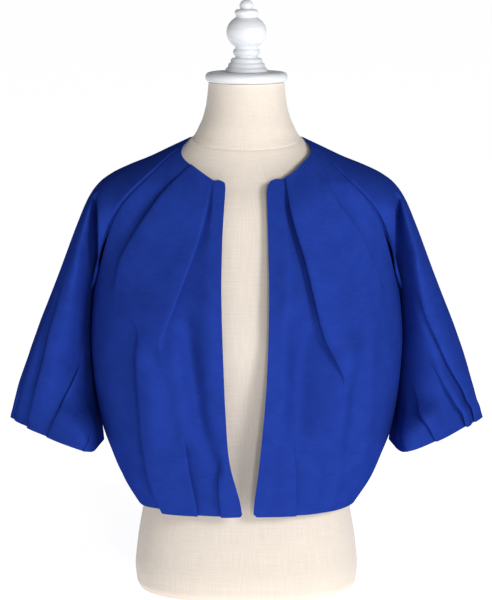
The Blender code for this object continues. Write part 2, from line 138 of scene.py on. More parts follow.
def new_material(name, roughness, specular):
    """A new material with its node tree and shader."""
    made = bpy.data.materials.new(name)
    made.use_nodes = True
    shader = made.node_tree.nodes["Principled BSDF"]
    shader.inputs["Roughness"].default_value = roughness
    shader.inputs["Specular IOR Level"].default_value = specular
    return made, made.node_tree, shader


def smooth(knots, values, at, steady=False):
    """A smooth curve through the values at the knots; a steady one never falls between rising values."""
    at = np.clip(np.asarray(at, float), knots[0], knots[-1])
    slope = np.gradient(values, knots)
    if steady:
        steps = np.diff(values) / np.diff(knots)
        flatter = np.minimum(np.append(steps, steps[-1]), np.append(steps[0], steps))
        slope = np.minimum(slope, STEADY_SLOPE * flatter)
    low = np.clip(np.searchsorted(knots, at) - 1, 0, len(knots) - 2)
    span = knots[low + 1] - knots[low]
    share = (at - knots[low]) / span
    rest = 1 - share
    ends = values[low] * rest * rest * (1 + 2 * share) + values[low + 1] * share * share * (1 + 2 * rest)
    return ends + span * share * rest * (slope[low] * rest - slope[low + 1] * share)


def around(rings, angle, z):
    """Points of a ring at level z; angle 0 is the centre front, a quarter turn the wearer's left side."""
    half = smooth(rings["z"], rings["half_width"], z)
    front = smooth(rings["z"], rings["front"], z)
    back = smooth(rings["z"], rings["back"], z)
    power = 2 / smooth(rings["z"], rings["square"], z)
    sine, cosine = np.sin(angle), np.cos(angle)
    x = half * np.sign(sine) * np.abs(sine) ** power
    y = np.where(cosine > 0, -front, back) * np.abs(cosine) ** power
    return np.stack([x, y, np.broadcast_to(z, x.shape)], -1)


def lengths(points):
    """The length along a row of points, from its first."""
    steps = np.linalg.norm(np.diff(points, axis=0), axis=1)
    return np.concatenate([[0], np.cumsum(steps)])


def grid_piece(name, points, uv, mirrored, surface):
    """A piece whose mesh is a grid of points in millimetres, with a map that runs along its cut edges."""
    rows, across = points.shape[:2]
    flip = np.array([-1.0 if mirrored else 1.0, 1.0, 1.0])
    places = (points * flip - np.array([0, 0, UNDERSIDE])) * MM
    corner = np.arange(rows * across).reshape(rows, across)
    faces = np.stack([corner[:-1, :-1], corner[1:, :-1], corner[1:, 1:], corner[:-1, 1:]], -1).reshape(-1, 4)
    if mirrored:
        faces = faces[:, ::-1]
    mesh = bpy.data.meshes.new(name)
    mesh.from_pydata(places.reshape(-1, 3).tolist(), [], faces.tolist())
    layer = mesh.uv_layers.new(name="cut")
    flat = (uv * MM).reshape(-1, 2)
    layer.data.foreach_set("uv", flat[faces.reshape(-1)].astype(np.float32).ravel())
    mesh.materials.append(surface)
    mesh.shade_smooth()
    piece = bpy.data.objects.new(name, mesh)
    bpy.context.scene.collection.objects.link(piece)
    return piece


def work_on(piece):
    """Makes one piece the only selected and active one."""
    for other in bpy.context.view_layer.objects:
        other.select_set(False)
    piece.select_set(True)
    bpy.context.view_layer.objects.active = piece


# Plain-woven natural linen: threads of uneven thickness cross over and under, matt, with pale and darker
# slubs. The threads are drawn coarser than their real 0.6 mm so that the weave shows.
linen, tree, shader = new_material("woven_natural_linen", roughness=0.9, specular=0.15)
shader.inputs["Sheen Weight"].default_value = 0.4
cut = put_node(tree, "ShaderNodeUVMap", {"uv_map": "cut"}, {})
threads = []
for long_side, short_side in ((LINEN_SLUB_RUN, 1.0), (1.0, LINEN_SLUB_RUN)):
    stretch = [1 / (LINEN_THREAD_MM * MM * long_side), 1 / (LINEN_THREAD_MM * MM * short_side), 1]
    laid = put_node(tree, "ShaderNodeMapping", {}, {"Vector": cut.outputs["UV"], "Scale": stretch})
    threads.append(put_node(tree, "ShaderNodeTexNoise", {}, {
        "Vector": laid.outputs["Vector"], "Scale": 1.0, "Detail": 2.0, "Roughness": 0.6}))
woven = put_node(tree, "ShaderNodeMix", {"data_type": "FLOAT"}, {
    0: 0.5, 2: threads[0].outputs["Fac"], 3: threads[1].outputs["Fac"]})
tone = put_node(tree, "ShaderNodeValToRGB", {}, {"Fac": woven.outputs[0]})
tone.color_ramp.elements[0].position = 0.30
tone.color_ramp.elements[0].color = linear(LINEN_DARK)
tone.color_ramp.elements[1].position = 0.64
tone.color_ramp.elements[1].color = linear(LINEN_PALE)
raised = put_node(tree, "ShaderNodeBump", {}, {
    "Strength": 0.15, "Distance": 0.3 * MM, "Height": woven.outputs[0]})
tree.links.new(tone.outputs["Color"], shader.inputs["Base Color"])
tree.links.new(raised.outputs["Normal"], shader.inputs["Normal"])

form_levels = np.concatenate([np.linspace(first, last, rows) for first, last, rows in FORM_ROWS])
form_angles = np.linspace(-math.pi, math.pi, FORM_SIDES + 1)
rings = np.array([around(FORM, form_angles, np.full(len(form_angles), z)) for z in form_levels])
towards_front = (0.5 + 0.5 * np.cos(form_angles)) ** NECK_SEAM_DROOP
seam_level = NECK_SEAM_BACK + (NECK_SEAM_FRONT - NECK_SEAM_BACK) * towards_front
groove = np.exp(-(((form_levels[:, None] - seam_level[None, :]) / NECK_SEAM_WIDTH) ** 2))
from_axis = rings[..., :2] / np.linalg.norm(rings[..., :2], axis=-1, keepdims=True)
rings[..., :2] -= from_axis * (NECK_SEAM_DEPTH * groove)[..., None]
form_uv = np.stack(np.broadcast_arrays(form_angles[None, :] * FORM_MEAN_RADIUS, form_levels[:, None]), -1)
form_piece = grid_piece("form_cover", rings[::-1], form_uv[::-1], False, linen)
work_on(form_piece)
bpy.ops.object.mode_set(mode="EDIT")
bpy.ops.mesh.select_all(action="SELECT")
bpy.ops.mesh.remove_doubles(threshold=WELD * MM)
bpy.ops.mesh.select_all(action="DESELECT")
bpy.ops.mesh.select_non_manifold()
bpy.ops.mesh.fill_holes(sides=0)
bpy.ops.mesh.select_all(action="SELECT")
bpy.ops.mesh.normals_make_consistent(inside=False)
bpy.ops.object.mode_set(mode="OBJECT")
bpy.ops.object.shade_smooth_by_angle(angle=FORM_CREASE)
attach(form_piece, "root")
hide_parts("form_torso")

# The neck cap: a flat disc of turned wood with a rounded rim, painted satin white, that closes the form's
# neck. It is turned on a lathe and screwed down from above.
NECK_AXIS_Y = -3.5
LATHE_SIDES = 64
TURNED_CREASE = math.radians(42)
PAINT_WHITE = "#E6E8EC"
PAINT_SHADE = "#DDE0E5"
# Cells of the paint's pattern to a metre: brush marks about 17 mm long and lathe rings about 4 mm apart
BRUSH_CELLS = (60, 60, 260)
CAP_PROFILE = table("radius z", [
    (39, 621.8), (43.5, 621.6), (46.8, 620.4), (48.5, 618.0), (48.9, 615.6), (48.4, 613.0),
    (46.6, 610.8), (43.5, 609.9), (39, 609.7),
])


def turn(name, profile, surface):
    """A lathe-turned piece: a disc at its top, extruded ring by ring down its profile."""
    radii = profile["radius"] * MM
    levels = (profile["z"] - UNDERSIDE) * MM
    axis_y = NECK_AXIS_Y * MM
    bpy.ops.object.select_all(action="DESELECT")
    bpy.ops.mesh.primitive_circle_add(
        vertices=LATHE_SIDES, radius=radii[0], fill_type="NGON", location=(0, axis_y, levels[0]))
    piece = bpy.context.object
    piece.name = name
    bpy.ops.object.transform_apply(location=True, rotation=True, scale=True)
    bpy.ops.object.mode_set(mode="EDIT")
    bpy.ops.mesh.select_all(action="SELECT")
    for above in range(len(radii) - 1):
        drop = levels[above + 1] - levels[above]
        wider = radii[above + 1] / radii[above]
        bpy.ops.mesh.extrude_region_move(TRANSFORM_OT_translate={"value": (0, 0, drop)})
        bpy.ops.transform.resize(value=(wider, wider, 1), center_override=(0, axis_y, levels[above + 1]))
    bpy.ops.mesh.select_all(action="SELECT")
    bpy.ops.mesh.normals_make_consistent(inside=False)
    bpy.ops.object.mode_set(mode="OBJECT")
    piece.data.materials.append(surface)
    bpy.ops.object.shade_smooth_by_angle(angle=TURNED_CREASE)
    return piece


# Satin white paint on turned wood: brushed thin, slightly uneven in gloss, with faint lathe rings under it.
paint, tree, shader = new_material("satin_white_paint_on_wood", roughness=0.42, specular=0.5)
place = put_node(tree, "ShaderNodeTexCoord", {}, {})
spread_out = put_node(tree, "ShaderNodeMapping", {}, {
    "Vector": place.outputs["Object"], "Scale": BRUSH_CELLS})
brushed = put_node(tree, "ShaderNodeTexNoise", {}, {
    "Vector": spread_out.outputs["Vector"], "Scale": 1.0, "Detail": 3.0, "Roughness": 0.55})
coat = put_node(tree, "ShaderNodeValToRGB", {}, {"Fac": brushed.outputs["Fac"]})
coat.color_ramp.elements[0].position = 0.35
coat.color_ramp.elements[0].color = linear(PAINT_SHADE)
coat.color_ramp.elements[1].position = 0.62
coat.color_ramp.elements[1].color = linear(PAINT_WHITE)
gloss = put_node(tree, "ShaderNodeMapRange", {}, {
    "Value": brushed.outputs["Fac"], "From Min": 0.3, "From Max": 0.7, "To Min": 0.36, "To Max": 0.5})
ripples = put_node(tree, "ShaderNodeBump", {}, {
    "Strength": 0.08, "Distance": 0.3 * MM, "Height": brushed.outputs["Fac"]})
tree.links.new(coat.outputs["Color"], shader.inputs["Base Color"])
tree.links.new(gloss.outputs["Result"], shader.inputs["Roughness"])
tree.links.new(ripples.outputs["Normal"], shader.inputs["Normal"])

cap_piece = turn("neck_cap_turned", CAP_PROFILE, paint)
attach(cap_piece, "root")
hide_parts("neck_cap")

# The finial: a turned wooden knob on the cap, with a small tip, a ring, a ball, a second ring and a stepped
# bell foot. It is turned in one from wood, painted like the cap and screwed into it.
BALL_CENTRE = 668.6
BALL_RADIUS = 23.8
BALL_FLATTENED = 0.86


def ball_rows(first, last, steps):
    """Rows of the ball from one angle above its middle to another."""
    angles = np.radians(np.linspace(first, last, steps))
    half_height = BALL_RADIUS * BALL_FLATTENED
    return [(BALL_RADIUS * math.cos(angle), BALL_CENTRE + half_height * math.sin(angle)) for angle in angles]


FINIAL_PROFILE = table("radius z", [
    (1.5, 707.0), (4.2, 706.0), (6.6, 704.0), (8.0, 701.4), (8.3, 698.8), (7.6, 696.6), (6.9, 695.8),
    (11.6, 695.2), (13.3, 694.0), (13.9, 692.0), (13.6, 690.2), (12.6, 689.0),
    *ball_rows(first=58, last=-54, steps=19),
    (13.2, 649.2), (14.8, 648.4), (15.8, 646.6), (15.9, 644.4), (15.2, 642.2), (13.6, 641.0), (13.0, 640.0),
    (13.3, 638.6), (16.6, 638.0), (18.2, 637.0), (18.7, 635.4), (18.6, 633.4), (19.4, 632.4), (20.9, 631.8),
    (21.7, 630.4), (21.8, 628.0), (22.6, 626.8), (24.0, 626.2), (24.8, 625.0), (24.9, 622.1),
])
finial_piece = turn("finial_turned", FINIAL_PROFILE, paint)
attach(finial_piece, "root")
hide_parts("finial")

# The jacket's back: cut in one from crisp blue faille, shaped by the raglan seams above and by pleats that
# draw the hem in. It is sewn to the fronts at the sides and to the sleeves along the raglan seams.
CLOTH_WALL = 0.9
CLOTH_CREASE = math.radians(62)
HEM_Z = 107.0

# Fineness: samples along a row, rows of points to a row of the tables, points across a pleat, and the small
# steps that the slope of the cloth is taken over
SAMPLES = 700
FINE_ROWS = 9
PLEAT_POINTS = 17
NEAR_ANGLE = 0.004
NEAR_LEVEL = 0.5

# Half the width of a pleat, open and folded, how far away its upper and its lower layer run out flat, and the
# least space for that
OPEN_HALF = 5.0
CLOSED_HALF = 2.0
PLEAT_RISE = 60.0
GUTTER_RISE = 42.0
LEAST_SPACE = 0.1

# Pressing at the neckline and the hem: the share of a pleat's height left there, and how far in it is full.
# A pressed pleat keeps more of its reach than of its height.
NECK_PRESSED = 0.2
NECK_PRESSED_DEPTH = 40.0
HEM_PRESSED = 0.5
HEM_PRESSED_DEPTH = 28.0
REACH_KEPT = 0.4

# Sewn seams: how far the edge turns under and sinks, the dip beside it, how much closer the points lie there,
# and the row below the neckline where the dip is whole
SEAM_TUCK = 2.4
SEAM_SINK = 4.0
SEAM_DIP = 3.0
SEAM_DIP_WIDTH = 1.7
SEAM_GRADE = 1.6
SEAM_CLOSED = 0.8

# Shares of its length over which a soft fold begins and dies away, the heights of the slow and quick waves in
# handled cloth, and the radii over which a rounded corner fades
FOLD_BEGINS = (-0.15, 0.3)
FOLD_DIES = (0.7, 1.15)
SLOW_WAVE = 0.30
QUICK_WAVE = 0.12
CORNER_FADE = 2.5

BLUE_DEEP = "#1D3487"
BLUE_BRIGHT = "#223C97"
BLUE_GLANCE = "#2440B8"
RIB_MM = 0.9
SLUB_MM = 14.0
# Cells of the dye's clouds to a metre, each about 22 mm wide
CLOUD_CELLS = 45.0

# Outside of the cloth around the body, level by level, with the columns of the form's table
BODY = table("z half_width front back square", [
    (107, 132, 112, 98, 2.3),
    (134, 150, 119, 104, 2.3),
    (166, 164, 125, 108, 2.3),
    (190, 173, 128, 111, 2.3),
    (213, 178, 131, 112, 2.3),
    (262, 185, 136, 113, 2.3),
    (312, 187, 136, 112, 2.3),
    (345, 185, 132, 111, 2.3),
    (373, 182, 126, 110, 2.3),
    (405, 180, 117, 108, 2.3),
    (437, 180, 106, 106, 2.3),
    (465, 179, 96, 102, 2.3),
    (487, 176, 87, 96, 2.3),
    (497, 168, 82, 92, 2.3),
    (507, 149, 77, 87, 2.2),
    (521, 116, 70, 79, 2.2),
    (537, 82, 61, 69, 2.2),
    (544, 69, 58, 65, 2.2),
    (552, 62, 55, 60, 2.2),
])

# Raglan sleeve from the neckline (row 0) past the underarm (row 9) to the cuff (row 16): its front edge,
# crown and back edge, how its curve follows the line from edge to crown, how far it leads forward or back
# from the edge and how far it stays level at the crown. Below the underarm both edges are the underarm seam,
# at the depth edge_y.
UNDERARM = 9
CUFF = 16
SLEEVE = table("row front_x front_z crown_x crown_z back_x back_z edge_y along lead level", [
    (0, 75.0, 536.5, 68, 543.0, 58.0, 541.5, 0, 0.33, 3, 12),
    (1, 92.0, 525.0, 92, 531.7, 79.0, 529.0, 0, 0.33, 7, 20),
    (2, 111.0, 508.0, 116, 520.7, 101.0, 512.5, 0, 0.33, 11, 27),
    (3, 130.0, 491.0, 140, 510.8, 122.0, 495.0, 0, 0.33, 14, 32),
    (4, 146.0, 473.0, 161, 500.5, 139.5, 476.0, 0, 0.33, 16, 35),
    (5, 157.5, 453.0, 177, 488.0, 153.0, 455.0, 0, 0.30, 17, 52),
    (6, 166.0, 430.0, 190, 469.0, 163.0, 431.0, 0, 0.26, 19, 70),
    (7, 172.5, 404.0, 202, 441.5, 170.5, 404.0, 0, 0.20, 26, 76),
    (8, 178.5, 378.0, 215, 407.0, 177.5, 378.0, 0, 0.10, 44, 78),
    (9, 184.0, 358.0, 228, 373.0, 184.0, 358.0, 0, 0.00, 66, 78),
    (10, 185.8, 334.0, 239, 345.0, 185.8, 334.0, 19, 0.00, 78, 77),
    (11, 185.8, 307.0, 250, 317.0, 185.8, 307.0, 26, 0.00, 84, 77),
    (12, 184.0, 279.0, 260, 290.0, 184.0, 279.0, 31, 0.00, 93, 76),
    (13, 181.5, 251.0, 268, 265.0, 181.5, 251.0, 34, 0.00, 101, 75),
    (14, 179.0, 223.0, 275, 243.0, 179.0, 223.0, 36, 0.00, 109, 74),
    (15, 176.5, 196.0, 281, 224.0, 176.5, 196.0, 38, 0.00, 116, 72),
    (16, 174.0, 170.0, 286, 207.0, 174.0, 170.0, 38, 0.00, 120, 70),
])

# Side seam rows below the underarm, by level
SIDE = table("row z", [
    (9, 358), (10, 332), (11, 304), (12, 274), (13, 244),
    (14, 215), (15, 187), (16, 160), (17, 133), (18, 107),
])

# Lines down one half of the back, from the centre to the side
BACK_INNER = table("z across", [(107, 36), (200, 38), (400, 30), (544, 12)])
BACK_OUTER = table("z across", [(107, 82), (200, 96), (300, 100), (400, 84), (480, 58), (543, 34)])

# Pleats of each line, in line order: the levels where they are full and have opened out, the height of the
# upper layer, the depth of the lower one and the reach of the S, at the neckline and then at the hem, and
# which layer lies on top (1: the one nearer the panel's first edge, -1: the one nearer its last edge)
PLEATS = (
    "neck_full neck_open neck_height neck_low neck_reach "
    "hem_full hem_open hem_height hem_low hem_reach top")
BACK_PLEATS = table(PLEATS, [
    (560, 550, 0, 0, 0, 130, 210, 3.6, 2.4, 3.4, 1),
    (560, 550, 0, 0, 0, 140, 225, 4.0, 2.6, 3.6, 1),
    (560, 550, 0, 0, 0, 112, 245, 4.0, 2.6, 3.6, -1),
    (560, 550, 0, 0, 0, 112, 235, 3.6, 2.4, 3.4, -1),
])

# Soft folds of each panel: upper and lower end, half width, and lift (less than 0: hollow)
FOLDS = "x_top z_top x_low z_low half_width lift"
BACK_FOLDS = table(FOLDS, [
    (20, 330, 24, 150, 16, -5),
    (-66, 360, -58, 160, 18, -6),
    (92, 340, 84, 150, 18, -5),
    (-118, 330, -104, 150, 16, 4),
    (48, 420, 60, 260, 14, -2.5),
    (-30, 300, -34, 140, 10, 3),
    (120, 330, 108, 140, 10, 3.5),
    (-96, 470, -150, 380, 12, -2.5),
    (96, 470, 150, 380, 12, -2.5),
])
# Spaces between points from each pleat to the next, and whether the first and the last edge are sewn
BACK_COUNTS = (26, 16, 28, 16, 26)
BACK_SEWN = (1, 1)


def ease(low, high, at):
    """A soft step from 0 at low to 1 at high."""
    share = np.clip((at - low) / (high - low), 0, 1)
    return share * share * (3 - 2 * share)


def row_of(columns, number):
    """One row of a table, by column name."""
    return {name: column[number] for name, column in columns.items()}


def angle_at(x, z):
    """The angle on the body's front where it is x wide at level z."""
    half = smooth(BODY["z"], BODY["half_width"], z)
    square = smooth(BODY["z"], BODY["square"], z)
    return np.arcsin(np.clip(x / half, 0, 1) ** (square / 2))


def outward(angle, z):
    """The unit normal of the body's cloth, away from the form."""
    across = around(BODY, angle + NEAR_ANGLE, z) - around(BODY, angle - NEAR_ANGLE, z)
    up = around(BODY, angle, z + NEAR_LEVEL) - around(BODY, angle, z - NEAR_LEVEL)
    normal = np.cross(across, up)
    return normal / np.linalg.norm(normal, axis=-1, keepdims=True)


def pleat_across(folded, height, low, reach, top, open_half):
    """Place and lift of the points across a pleat: a rounded S when folded, flat when it has opened out."""
    turn_share = np.linspace(0, 1, PLEAT_POINTS)
    half = folded * CLOSED_HALF + (1 - folded) * open_half
    along = half * (2 * turn_share - 1) + folded * reach * np.sin(2 * math.pi * turn_share)
    lift = folded * (height - (height + low) * ease(0, 1, turn_share))
    if top > 0:
        return along, lift
    return -along[::-1], lift[::-1]


def dying_away(lift, away, space):
    """How the lift at a pleat dies away beside it: slowly on the layer on top, sooner on the one below."""
    reach = min(PLEAT_RISE if lift > 0 else GUTTER_RISE, max(space, LEAST_SPACE))
    return lift * (1 - ease(0, reach, away))


def spread(places, counts, sewn):
    """Fills the spaces between pleats with points, closer beside a sewn edge, that run softly into them."""
    along, lift = [], []
    for number, (place, rise) in enumerate(places):
        along.extend(place)
        lift.extend(rise)
        if number < len(counts):
            start, end = place[-1], places[number + 1][0][0]
            share = np.arange(1, counts[number]) / counts[number]
            if number == 0 and sewn[0]:
                share = share ** SEAM_GRADE
            if number == len(counts) - 1 and sewn[1]:
                share = 1 - (1 - share) ** SEAM_GRADE
            between = start + (end - start) * share
            risen = dying_away(rise[-1], between - start, end - start)
            risen += dying_away(places[number + 1][1][0], end - between, end - start)
            along.extend(between)
            lift.extend(risen)
    return np.array(along), np.array(lift)


def beside_seam(away):
    """How much of a seam's dip is left some way away from it, from 1 to 0."""
    return np.exp(-((away / SEAM_DIP_WIDTH) ** 2))


def into_seams(along, lift, end, sewn):
    """Dips the cloth into the seams at its sewn edges and turns a narrow allowance under the next piece."""
    first, last = sewn
    lift = lift - SEAM_DIP * first * beside_seam(along)
    lift = lift - SEAM_DIP * last * beside_seam(end - along)
    along = np.concatenate([[-SEAM_TUCK * first], along, [end + SEAM_TUCK * last]])
    lift = np.concatenate([[-SEAM_SINK * first], lift, [-SEAM_SINK * last]])
    return along, lift


def fold_lift(folds, x, z):
    """How far the soft folds lift or sink the cloth at a place seen from the front."""
    total = np.zeros(x.shape)
    for number in range(len(folds["lift"])):
        fold = row_of(folds, number)
        run_x, run_z = fold["x_low"] - fold["x_top"], fold["z_low"] - fold["z_top"]
        length = math.hypot(run_x, run_z)
        along = ((x - fold["x_top"]) * run_x + (z - fold["z_top"]) * run_z) / length ** 2
        aside = ((x - fold["x_top"]) * run_z - (z - fold["z_top"]) * run_x) / length
        ends = ease(*FOLD_BEGINS, along) * (1 - ease(*FOLD_DIES, along))
        total += fold["lift"] * ends * np.exp(-((aside / fold["half_width"]) ** 2))
    return total


def handling(along, down):
    """Slight unevenness of handled cloth: slow and quick waves whose lengths, in mm, share no measure."""
    slow = np.sin(along / 23 + 1.3 * np.sin(down / 41)) * np.sin(down / 37 + 0.8)
    quick = np.sin(along / 9 + down / 31 + 2.1) * np.sin(down / 17 - along / 29)
    return SLOW_WAVE * slow + QUICK_WAVE * quick


def front_row(row, lines, seam_x, seam_z):
    """Angles and levels where the lines and the last seam of a panel cross one row, on the wearer's left."""
    raglan = SLEEVE["row"][:UNDERARM + 1]
    if row < UNDERARM:
        level = smooth(raglan, seam_z[:UNDERARM + 1], row)
        angle = angle_at(smooth(raglan, seam_x[:UNDERARM + 1], row), level)
    else:
        level = smooth(SIDE["row"], SIDE["z"], row)
        angle = math.pi / 2
    down = (seam_z[0] - level) / (seam_z[0] - HEM_Z)
    levels = [line["z"][-1] + (HEM_Z - line["z"][-1]) * down for line in lines]
    angles = [angle_at(smooth(line["z"], line["across"], z), z) for line, z in zip(lines, levels)]
    return np.array(angles + [angle]), np.array(levels + [level])


def back_row(row, lines, seam_x, seam_z):
    """The same for the whole back, from the wearer's left seam to the right one."""
    angles, levels = front_row(row, lines, seam_x, seam_z)
    whole_angles = np.concatenate([math.pi - angles[::-1], math.pi + angles])
    return whole_angles, np.concatenate([levels[::-1], levels])


def folded_at(pleat, level):
    """How far a pleat is folded at a level, from 0 to 1, and its height, depth and reach there when full."""
    at_neck = 1 - ease(0, 1, (pleat["neck_full"] - level) / (pleat["neck_full"] - pleat["neck_open"]))
    at_hem = ease(0, 1, (pleat["hem_open"] - level) / (pleat["hem_open"] - pleat["hem_full"]))
    if at_neck * pleat["neck_height"] > at_hem * pleat["hem_height"]:
        return at_neck, pleat["neck_height"], pleat["neck_low"], pleat["neck_reach"]
    return at_hem, pleat["hem_height"], pleat["hem_low"], pleat["hem_reach"]


def rounded(radius, along, away):
    """How far a rounded corner draws the cloth in, along from one edge and some way away from the other."""
    inside = np.clip(radius - along, 0, radius)
    return (radius - np.sqrt(radius ** 2 - inside ** 2)) * (1 - ease(0, CORNER_FADE * radius, away))


def panel_grid(crossings, pleats, folds, counts, sewn, corners):
    """Points and cut places of a body panel, row by row from its first edge to its last."""
    points, cut_places = [], []
    down = 0.0
    for angles, levels in crossings:
        knots = np.arange(len(angles), dtype=float)
        fine = np.linspace(0, knots[-1], SAMPLES)
        angle_line = smooth(knots, angles, fine, steady=True)
        level_line = smooth(knots, levels, fine)
        length = lengths(around(BODY, angle_line, level_line))
        places = [(np.zeros(1), np.zeros(1))]
        for number in range(1, len(knots) - 1):
            pleat = row_of(pleats, number - 1)
            folded, height, low, reach = folded_at(pleat, levels[number])
            below_neck = crossings[0][1][number] - levels[number]
            pressed = NECK_PRESSED + (1 - NECK_PRESSED) * ease(0, NECK_PRESSED_DEPTH, below_neck)
            pressed *= HEM_PRESSED + (1 - HEM_PRESSED) * ease(0, HEM_PRESSED_DEPTH, levels[number] - HEM_Z)
            reach *= REACH_KEPT + (1 - REACH_KEPT) * pressed
            along, lift = pleat_across(
                folded, height * pressed, low * pressed, reach, pleat["top"], OPEN_HALF)
            places.append((np.interp(knots[number], fine, length) + along, lift))
        places.append((length[-1:], np.zeros(1)))
        along, lift = spread(places, counts, sewn)
        open_seam = ease(0, SEAM_CLOSED, len(points) / FINE_ROWS)
        along, lift = into_seams(along, lift, length[-1], (sewn[0] * open_seam, sewn[1] * open_seam))
        slope_first = (angle_line[1] - angle_line[0]) / length[1]
        slope_last = (angle_line[-1] - angle_line[-2]) / (length[-1] - length[-2])
        angle = np.interp(along, length, angle_line)
        angle += slope_first * np.minimum(along, 0) + slope_last * np.maximum(along - length[-1], 0)
        z = np.interp(along, length, level_line)
        if corners:
            z = z - rounded(corners[0], along, crossings[0][1][0] - levels[0])
            z = z + rounded(corners[1], along, levels[0] - HEM_Z)
        base = around(BODY, angle, z)
        down = down if not points else down + np.linalg.norm(base[len(base) // 2] - last_middle)
        last_middle = base[len(base) // 2]
        lift = lift + fold_lift(folds, base[:, 0], z) + handling(along, down)
        points.append(base + outward(angle, z) * lift[:, None])
        cut_places.append(np.stack([along, np.full(len(along), -down)], -1))
    return np.array(points), np.array(cut_places)


def sewn_piece(name, grid, mirrored, solid):
    """A cut piece of the jacket: its grid with a thin wall, in place of its solid."""
    piece = grid_piece(name, grid[0], grid[1], mirrored, faille)
    work_on(piece)
    bpy.ops.object.mode_set(mode="EDIT")
    bpy.ops.mesh.select_all(action="SELECT")
    bpy.ops.mesh.remove_doubles(threshold=WELD * MM)
    bpy.ops.object.mode_set(mode="OBJECT")
    wall = piece.modifiers.new("Wall", "SOLIDIFY")
    wall.thickness = CLOTH_WALL * MM
    wall.offset = -1
    bpy.ops.object.modifier_apply(modifier=wall.name)
    bpy.ops.object.shade_smooth_by_angle(angle=CLOTH_CREASE)
    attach(piece, "root")
    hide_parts(solid)


# Blue silk faille: a plain weave of fine warp over heavier weft, so flat ribs run across the cloth. It is
# nearly matt, with a low blue sheen, and uneven weft gives short slubs. The rib is drawn at twice its real
# width so that it shows.
faille, tree, shader = new_material("blue_silk_faille", roughness=0.62, specular=0.0)
shader.inputs["Metallic"].default_value = 0.2
shader.inputs["Specular Tint"].default_value = linear(BLUE_GLANCE)
cut = put_node(tree, "ShaderNodeUVMap", {"uv_map": "cut"}, {})
slub_scale = [1 / (SLUB_MM * MM), 1 / (RIB_MM * MM), 1]
along_weft = put_node(tree, "ShaderNodeMapping", {}, {"Vector": cut.outputs["UV"], "Scale": slub_scale})
slubs = put_node(tree, "ShaderNodeTexNoise", {}, {
    "Vector": along_weft.outputs["Vector"], "Scale": 1.0, "Detail": 2.0, "Roughness": 0.55})
clouded = put_node(tree, "ShaderNodeTexNoise", {}, {
    "Vector": cut.outputs["UV"], "Scale": CLOUD_CELLS, "Detail": 3.0, "Roughness": 0.6})
worked = put_node(tree, "ShaderNodeMix", {"data_type": "FLOAT"}, {
    0: 0.45, 2: slubs.outputs["Fac"], 3: clouded.outputs["Fac"]})
dye = put_node(tree, "ShaderNodeValToRGB", {}, {"Fac": worked.outputs[0]})
dye.color_ramp.elements[0].position = 0.36
dye.color_ramp.elements[0].color = linear(BLUE_DEEP)
dye.color_ramp.elements[1].position = 0.64
dye.color_ramp.elements[1].color = linear(BLUE_BRIGHT)
ribbed = put_node(tree, "ShaderNodeBump", {}, {
    "Strength": 0.14, "Distance": 0.35 * MM, "Height": slubs.outputs["Fac"]})
soft = put_node(tree, "ShaderNodeBump", {}, {
    "Strength": 0.04, "Distance": 2.0 * MM,
    "Height": clouded.outputs["Fac"], "Normal": ribbed.outputs["Normal"]})
tree.links.new(dye.outputs["Color"], shader.inputs["Base Color"])
tree.links.new(soft.outputs["Normal"], shader.inputs["Normal"])

body_rows = np.linspace(0, SIDE["row"][-1], int(SIDE["row"][-1]) * FINE_ROWS + 1)
back_seam = (SLEEVE["back_x"], SLEEVE["back_z"])
back_crossings = [back_row(row, [BACK_INNER, BACK_OUTER], *back_seam) for row in body_rows]
back_grid = panel_grid(back_crossings, BACK_PLEATS, BACK_FOLDS, BACK_COUNTS, BACK_SEWN, None)
sewn_piece("back_panel", back_grid, mirrored=False, solid="back")

# The wearer's left front: cut from the same faille, sewn to the sleeve and the back, and left open at the
# centre with rounded corners. One deep and one small pleat run from the neckline and open over the chest,
# and one pleat and soft folds draw in the hem.
LEFT_EDGE = table("z across", [
    (107, 8), (123, 9), (154, 13), (203, 18), (263, 23), (310, 25), (378, 26), (434, 25), (498, 23),
])
LEFT_HEM_PLEAT = table("z across", [(107, 58), (178, 56), (250, 54), (350, 48), (434, 40), (502, 33)])
LEFT_NECK_PLEAT = table("z across", [
    (107, 84), (150, 86), (190, 87), (214, 89), (232, 95), (250, 104), (269, 109), (290, 104),
    (321, 93), (364, 81), (403, 72), (454, 57), (504, 46),
])
LEFT_SLEEVE_PLEAT = table("z across", [
    (107, 112), (150, 129), (200, 143), (280, 157), (340, 161), (382, 157),
    (421, 140), (448, 126), (472, 108), (509, 82), (521, 67),
])
LEFT_PLEATS = table(PLEATS, [
    (530, 520, 0, 0, 0, 160, 215, 2.8, 1.8, 2.4, 1),
    (322, 252, 9.0, 4.6, 5.0, 90, 100, 0, 0, 0, -1),
    (440, 330, 2.6, 1.4, 1.8, 90, 100, 0, 0, 0, 1),
])
LEFT_FOLDS = table(FOLDS, [
    (68, 345, 60, 195, 20, -16),
    (117, 322, 104, 190, 16, 9),
    (46, 430, 46, 200, 10, 3),
    (146, 350, 140, 160, 9, 3.5),
    (128, 300, 116, 130, 9, -3.5),
    (102, 200, 90, 110, 8, -3.5),
    (34, 190, 30, 110, 7, -2),
])
FRONT_COUNTS = (12, 14, 26, 26)
FRONT_SEWN = (0, 1)
